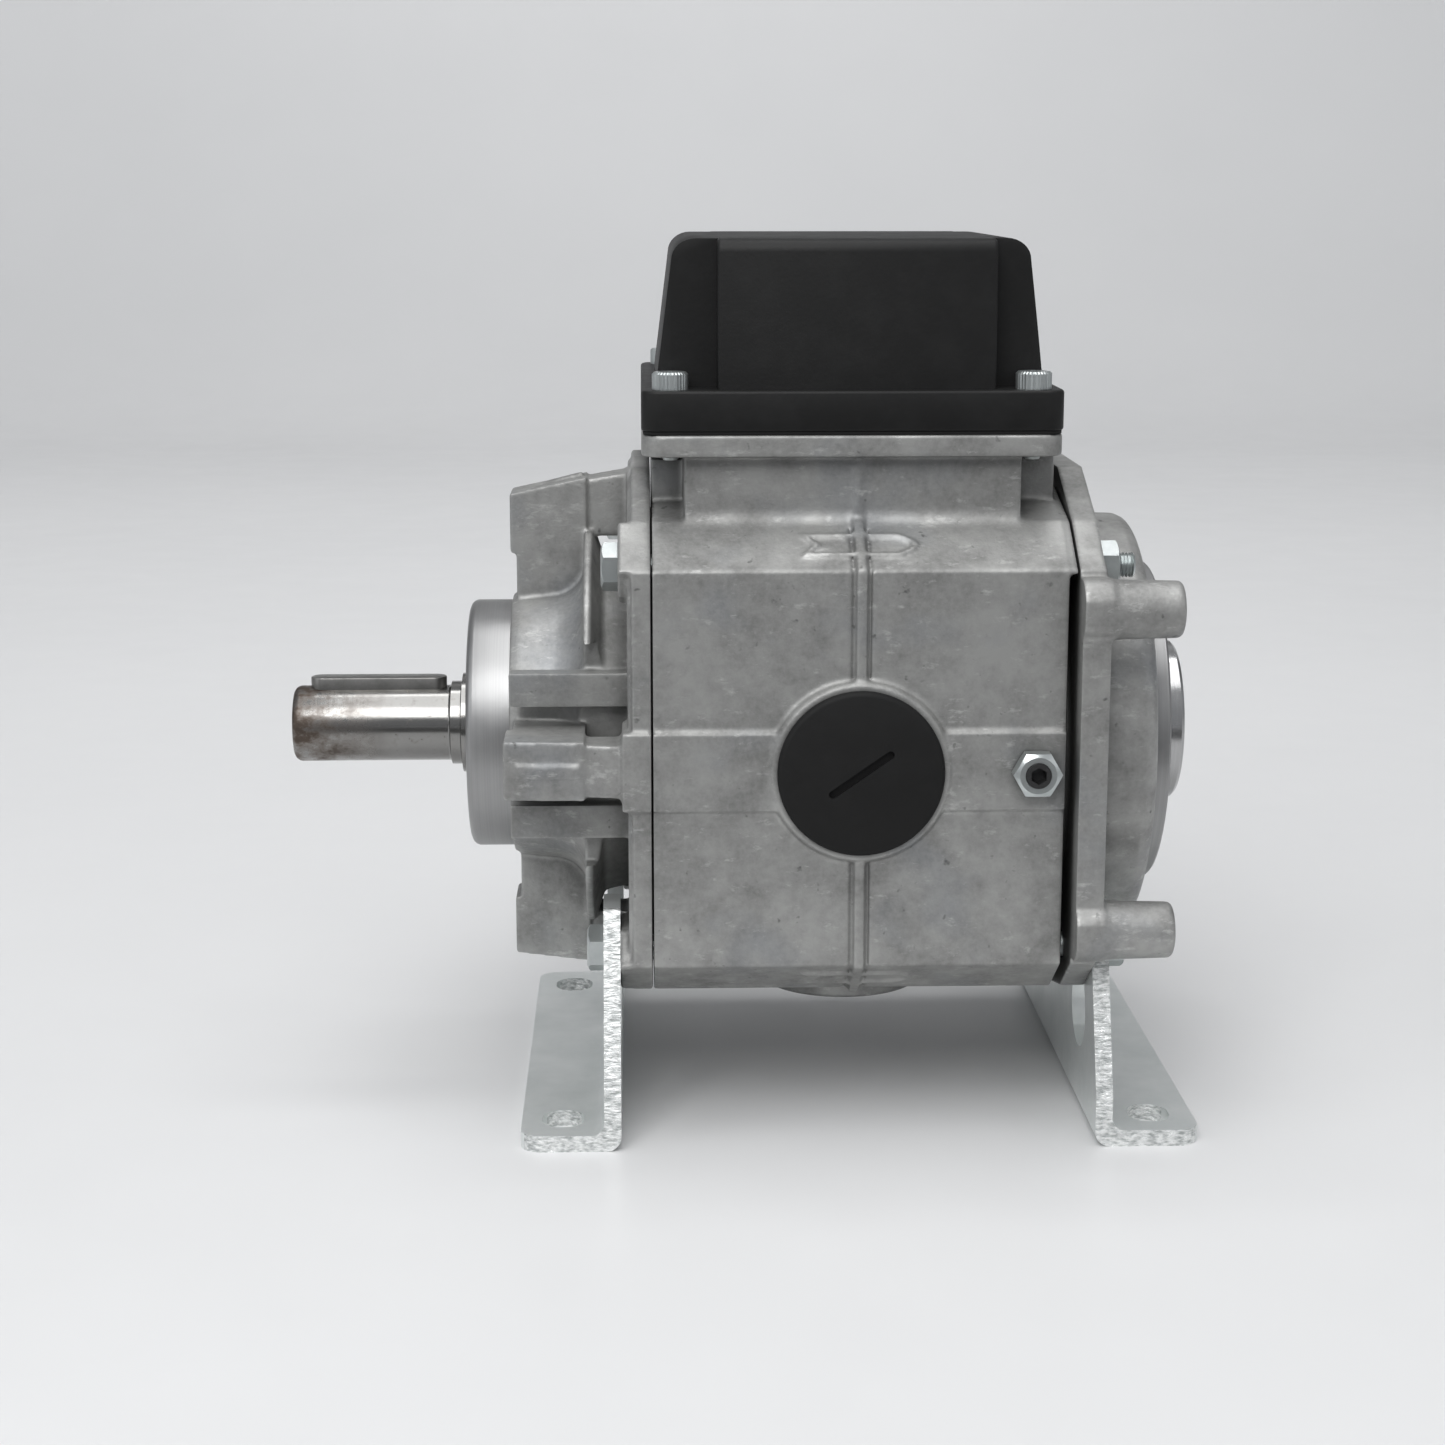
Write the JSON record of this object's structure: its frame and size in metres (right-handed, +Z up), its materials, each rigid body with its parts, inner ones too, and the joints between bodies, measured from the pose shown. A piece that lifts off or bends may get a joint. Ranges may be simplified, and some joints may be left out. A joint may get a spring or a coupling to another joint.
{
  "type": "clutch-brake unit",
  "caption": "Foot-mounted electromagnetic clutch-brake unit: cast drum housing, keyed output shaft, hollow input hub in a flange, and a terminal box on top.",
  "frame": {"origin": "on the floor plane the feet stand on, under the middle of the unit's overall box", "axes": "+X along the shaft axis from the keyed output shaft to the hollow input hub, +Y to the rear, +Z up; the shaft axis is 90 mm above the floor"},
  "size_m": [0.2214, 0.1386, 0.2112],
  "materials": {
    "cast_aluminium": "as-cast aluminium, mottled grey, tumbled and scuffed, machined nose and spigot",
    "turned_steel": "turned and ground steel with light brown rust staining on the shaft end",
    "zinc_plated_steel": "bright zinc plating, pale bluish, sheared edges",
    "black_plastic": "black moulded plastic, fine satin grain",
    "black_rubber": "black moulded rubber, matte",
    "black_steel": "black-oxide steel",
    "phenolic": "brown phenolic moulding",
    "bearing_steel": "polished bearing steel",
    "spring_steel": "tempered spring steel",
    "magnet_steel": "phosphated magnet steel",
    "copper_winding": "enamelled copper winding in clear resin",
    "friction_lining": "dark friction compound",
    "sintered_bronze": "oil-soaked sintered bronze"
  },
  "bodies": {
    "casing": {"main_housing": "cast_aluminium", "output_end_shield": "cast_aluminium", "input_flange": "cast_aluminium", "foot_bracket_output": "zinc_plated_steel", "foot_bracket_input": "zinc_plated_steel", "lock_nut": "zinc_plated_steel", "lid_screw_1": "zinc_plated_steel", "lid_screw_2": "zinc_plated_steel", "lid_screw_3": "zinc_plated_steel", "lid_screw_4": "zinc_plated_steel", "terminal_screw_1": "zinc_plated_steel", "terminal_screw_2": "zinc_plated_steel", "terminal_screw_3": "zinc_plated_steel", "terminal_screw_4": "zinc_plated_steel", "through_bolt_1": "zinc_plated_steel", "through_bolt_2": "zinc_plated_steel", "through_bolt_3": "zinc_plated_steel", "through_bolt_4": "zinc_plated_steel", "through_nut_1": "zinc_plated_steel", "through_nut_2": "zinc_plated_steel", "through_nut_3": "zinc_plated_steel", "through_nut_4": "zinc_plated_steel", "terminal_box_lid": "black_plastic", "cable_entry_plug": "black_plastic", "lid_gasket": "black_rubber", "inspection_plug_front": "black_rubber", "inspection_plug_rear": "black_rubber", "output_shaft_seal": "black_rubber", "set_screw": "black_steel", "terminal_block": "phenolic", "output_bearing_outer": "bearing_steel", "input_bearing_outer": "bearing_steel", "output_bearing_ring": "spring_steel", "input_bearing_ring": "spring_steel", "brake_magnet": "magnet_steel", "clutch_magnet": "magnet_steel", "brake_coil": "copper_winding", "clutch_coil": "copper_winding", "brake_lining": "friction_lining"},
    "output_rotor": {"output_shaft": "turned_steel", "output_key": "turned_steel", "output_bearing_inner": "bearing_steel", "armature_hub": "magnet_steel", "armature_hub_key": "turned_steel", "brake_return_spring": "spring_steel", "clutch_return_spring": "spring_steel", "brake_spring_retainer": "spring_steel", "clutch_spring_retainer": "spring_steel"},
    "brake_armature_disc": {"brake_armature": "magnet_steel"},
    "clutch_armature_disc": {"clutch_armature": "magnet_steel"},
    "input_rotor": {"input_hub": "turned_steel", "clutch_rotor": "magnet_steel", "clutch_lining": "friction_lining", "pilot_bushing": "sintered_bronze", "input_bearing_inner": "bearing_steel", "input_hub_ring": "spring_steel"},
    "output_cage": {"output_bearing_balls": "bearing_steel"},
    "input_cage": {"input_bearing_balls": "bearing_steel"}
  },
  "joints": [
    {"name": "output_shaft_spin", "type": "hinge", "parent": "casing", "child": "output_rotor", "pos_m": [0, 0, 0.09], "axis": [1, 0, 0], "continuous": true},
    {"name": "input_hub_spin", "type": "hinge", "parent": "casing", "child": "input_rotor", "pos_m": [0, 0, 0.09], "axis": [1, 0, 0], "continuous": true},
    {"name": "output_cage_spin", "type": "hinge", "parent": "casing", "child": "output_cage", "pos_m": [0, 0, 0.09], "axis": [1, 0, 0], "continuous": true},
    {"name": "input_cage_spin", "type": "hinge", "parent": "casing", "child": "input_cage", "pos_m": [0, 0, 0.09], "axis": [1, 0, 0], "continuous": true},
    {"name": "brake_armature_slide", "type": "slide", "parent": "output_rotor", "child": "brake_armature_disc", "axis": [-1, 0, 0], "range_m": [0, 0.00035], "stiffness_N_per_m": 20000, "springref_m": -0.001},
    {"name": "clutch_armature_slide", "type": "slide", "parent": "output_rotor", "child": "clutch_armature_disc", "axis": [1, 0, 0], "range_m": [0, 0.00035], "stiffness_N_per_m": 20000, "springref_m": -0.001}
  ],
  "couplings": [
    {"joint": "output_cage_spin", "follows": "output_shaft_spin", "ratio": 0.399},
    {"joint": "input_cage_spin", "follows": "input_hub_spin", "ratio": 0.428}
  ]
}
